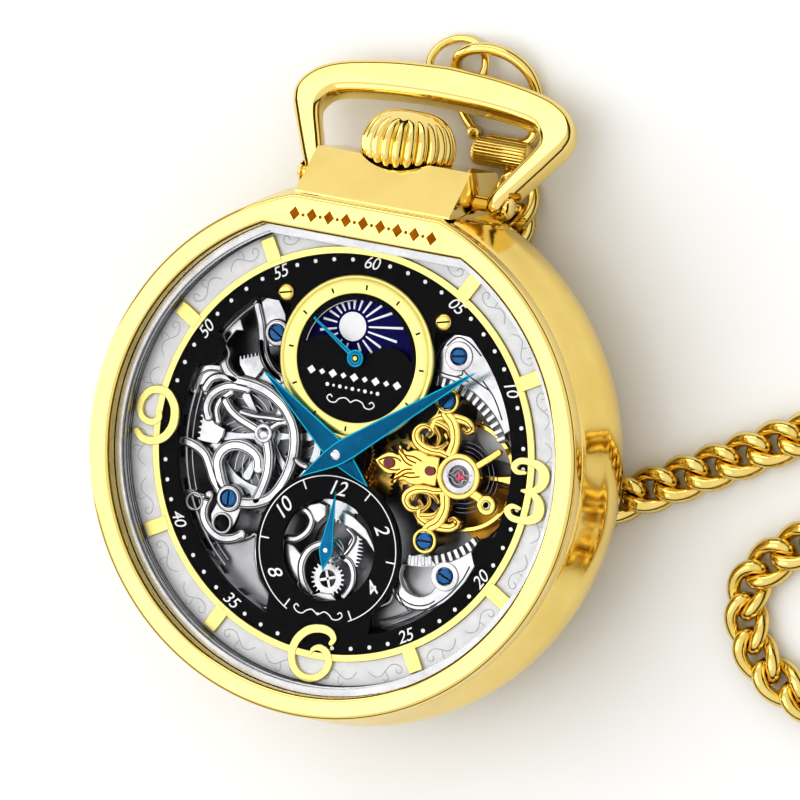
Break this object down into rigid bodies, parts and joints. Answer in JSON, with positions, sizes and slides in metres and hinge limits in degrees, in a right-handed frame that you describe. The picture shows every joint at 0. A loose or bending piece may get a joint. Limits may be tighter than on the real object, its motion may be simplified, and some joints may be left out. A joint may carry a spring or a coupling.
{
  "type": "pocket watch",
  "caption": "Round open-dial pocket watch with two sub-dials, blued hands, winding crown, hinged bow and a curb chain ending in a cross bar.",
  "frame": {"origin": "centre of the case back's flat rest face, on the dial's axis", "axes": "+Z out of the dial, +Y to 12 o'clock and the crown, +X to 3 o'clock"},
  "size_m": [0.1142, 0.0682, 0.017],
  "materials": {
    "case_gold": "polished yellow gold plating",
    "bow_gold": "polished yellow gold plating",
    "chain_gold": "polished yellow gold plating on curb links",
    "dial_gold": "satin pale gold plating",
    "watch_glass": "clear mineral glass",
    "seal": "black nitrile",
    "silver_steel": "polished rhodium plating",
    "engraved_silver": "satin silver with fine engraving",
    "black_dial": "black lacquer",
    "navy_disc": "dark blue lacquer with white printed sun",
    "blued_steel": "blued, with a bright edge",
    "screw_blue": "heat-blued steel",
    "movement_steel": "rhodium plated, bright bevelled edges",
    "dark_steel": "dark plated",
    "wheel_brass": "gilt",
    "bridge_gold": "polished and engraved gilt",
    "ruby": "polished synthetic ruby",
    "spring_steel": "dark blued flat spring"
  },
  "bodies": {
    "watch": {"case_back": "case_gold", "back_crystal": "watch_glass", "back_gasket": "seal", "case_middle": "case_gold", "pendant": "case_gold", "pendant_tube": "silver_steel", "front_bezel": "case_gold", "front_crystal": "watch_glass", "crystal_gasket": "seal", "rehaut": "silver_steel", "chapter_ring": "engraved_silver", "dial_plate": "black_dial", "hour_markers": "dial_gold", "upper_subdial": "dial_gold", "dual_subdial": "black_dial", "dial_screws": "dial_gold", "bow_screws": "bow_gold", "movement_ring": "movement_steel", "main_plate": "dark_steel", "pillars": "movement_steel", "train_bridge": "movement_steel", "dial_support": "silver_steel", "barrel_bridge": "silver_steel", "skeleton_bridge": "silver_steel", "bridge_screws": "screw_blue", "pallet_bridge": "movement_steel", "hairspring": "spring_steel", "balance_bridge": "bridge_gold", "balance_jewel": "ruby", "train_jewels": "ruby", "chain_tube": "chain_gold", "chain_coil": "chain_gold", "chain_end_ring": "chain_gold", "chain_bar": "chain_gold"},
    "sun_disc": {"sun_disc": "navy_disc"},
    "seconds": {"seconds_hand": "blued_steel", "fourth_wheel": "wheel_brass"},
    "dual": {"dual_hand": "blued_steel"},
    "hour": {"hour_hand": "blued_steel"},
    "minute": {"minute_hand": "blued_steel"},
    "bow": {"bow": "bow_gold", "bow_loop": "bow_gold", "clasp_hook": "chain_gold", "clasp_base": "chain_gold"},
    "gate": {"clasp_gate": "chain_gold"},
    "crown_slider": {"crown_seal": "seal"},
    "crown": {"crown": "bow_gold"},
    "barrel": {"barrel": "dark_steel"},
    "ratchet": {"ratchet_wheel": "movement_steel"},
    "crown_wheel": {"crown_wheel": "movement_steel"},
    "centre": {"centre_wheel": "wheel_brass"},
    "third": {"third_wheel": "wheel_brass"},
    "transfer": {"transfer_wheel": "wheel_brass"},
    "escape": {"escape_wheel": "wheel_brass"},
    "fork": {"pallet_fork": "movement_steel"},
    "balance": {"balance_wheel": "bridge_gold"},
    "minute_wheel": {"minute_wheel": "wheel_brass"},
    "dual_idler": {"dual_idler": "movement_steel"},
    "day_idler": {"day_idler": "wheel_brass"},
    "rotor": {"winding_rotor": "movement_steel"}
  },
  "joints": [
    {"name": "bow_swing", "type": "hinge", "parent": "watch", "child": "bow", "pos_m": [0, 0.0232, 0.0086], "axis": [1, 0, 0], "range_deg": [0, 124]},
    {"name": "gate_open", "type": "hinge", "parent": "bow", "child": "gate", "pos_m": [0.0024, 0.0286, 0.0007], "axis": [0, 0, 1], "range_deg": [-22, 0], "stiffness_Nm_per_rad": 0.00002, "springref_deg": 2.86},
    {"name": "crown_pull", "type": "slide", "parent": "watch", "child": "crown_slider", "axis": [0, 1, 0], "range_m": [0, 0.0008]},
    {"name": "crown_turn", "type": "hinge", "parent": "crown_slider", "child": "crown", "pos_m": [0, 0.0247, 0.0095], "axis": [0, 1, 0], "continuous": true},
    {"name": "crown_wheel_turn", "type": "hinge", "parent": "watch", "child": "crown_wheel", "pos_m": [-0.0038, 0.00768, 0.012], "axis": [0, 0, 1], "continuous": true},
    {"name": "ratchet_turn", "type": "hinge", "parent": "watch", "child": "ratchet", "pos_m": [-0.0081, 0, 0.012], "axis": [0, 0, 1], "continuous": true},
    {"name": "minute_turn", "type": "hinge", "parent": "watch", "child": "minute", "pos_m": [0, 0, 0.012], "axis": [0, 0, 1], "continuous": true},
    {"name": "hour_turn", "type": "hinge", "parent": "watch", "child": "hour", "pos_m": [0, 0, 0.012], "axis": [0, 0, 1], "continuous": true},
    {"name": "minute_wheel_turn", "type": "hinge", "parent": "watch", "child": "minute_wheel", "pos_m": [0.00193, -0.0023, 0.012], "axis": [0, 0, 1], "continuous": true},
    {"name": "dual_idler_turn", "type": "hinge", "parent": "watch", "child": "dual_idler", "pos_m": [0, -0.00422, 0.012], "axis": [0, 0, 1], "continuous": true},
    {"name": "dual_turn", "type": "hinge", "parent": "watch", "child": "dual", "pos_m": [0, -0.00845, 0.012], "axis": [0, 0, 1], "continuous": true},
    {"name": "day_idler_turn", "type": "hinge", "parent": "watch", "child": "day_idler", "pos_m": [0, 0.00302, 0.012], "axis": [0, 0, 1], "continuous": true},
    {"name": "sun_turn", "type": "hinge", "parent": "watch", "child": "sun_disc", "pos_m": [0, 0.00845, 0.012], "axis": [0, 0, 1], "continuous": true},
    {"name": "seconds_turn", "type": "hinge", "parent": "watch", "child": "seconds", "pos_m": [0, 0.00845, 0.012], "axis": [0, 0, 1], "continuous": true},
    {"name": "third_turn", "type": "hinge", "parent": "watch", "child": "third", "pos_m": [0.0044, 0.00511, 0.012], "axis": [0, 0, 1], "continuous": true},
    {"name": "centre_turn", "type": "hinge", "parent": "watch", "child": "centre", "pos_m": [0, 0, 0.012], "axis": [0, 0, 1], "continuous": true},
    {"name": "barrel_turn", "type": "hinge", "parent": "watch", "child": "barrel", "pos_m": [-0.0081, 0, 0.012], "axis": [0, 0, 1], "continuous": true},
    {"name": "transfer_turn", "type": "hinge", "parent": "watch", "child": "transfer", "pos_m": [0.00301, 0.00253, 0.012], "axis": [0, 0, 1], "continuous": true},
    {"name": "escape_turn", "type": "hinge", "parent": "watch", "child": "escape", "pos_m": [0.0043, 0, 0.012], "axis": [0, 0, 1], "continuous": true},
    {"name": "fork_rock", "type": "hinge", "parent": "watch", "child": "fork", "pos_m": [0.0082, 0, 0.0105], "axis": [0, 0, 1], "range_deg": [-5, 5]},
    {"name": "balance_swing", "type": "hinge", "parent": "watch", "child": "balance", "pos_m": [0.0108, 0, 0.0115], "axis": [0, 0, 1], "range_deg": [-135, 135], "stiffness_Nm_per_rad": 0.000001},
    {"name": "rotor_turn", "type": "hinge", "parent": "watch", "child": "rotor", "pos_m": [0, 0, 0.012], "axis": [0, 0, 1], "continuous": true}
  ],
  "couplings": [
    {"joint": "crown_wheel_turn", "follows": "crown_turn", "ratio": 0.4375},
    {"joint": "ratchet_turn", "follows": "crown_turn", "ratio": -0.25},
    {"joint": "hour_turn", "follows": "minute_turn", "ratio": 0.083333},
    {"joint": "minute_wheel_turn", "follows": "minute_turn", "ratio": -0.33333},
    {"joint": "dual_idler_turn", "follows": "minute_turn", "ratio": -0.11111},
    {"joint": "dual_turn", "follows": "minute_turn", "ratio": 0.083333},
    {"joint": "day_idler_turn", "follows": "minute_turn", "ratio": -0.33333},
    {"joint": "sun_turn", "follows": "minute_turn", "ratio": 0.041667},
    {"joint": "third_turn", "follows": "seconds_turn", "ratio": -0.13333},
    {"joint": "centre_turn", "follows": "seconds_turn", "ratio": 0.016667},
    {"joint": "barrel_turn", "follows": "seconds_turn", "ratio": -0.0027778},
    {"joint": "transfer_turn", "follows": "seconds_turn", "ratio": -1.75},
    {"joint": "escape_turn", "follows": "seconds_turn", "ratio": 10}
  ]
}
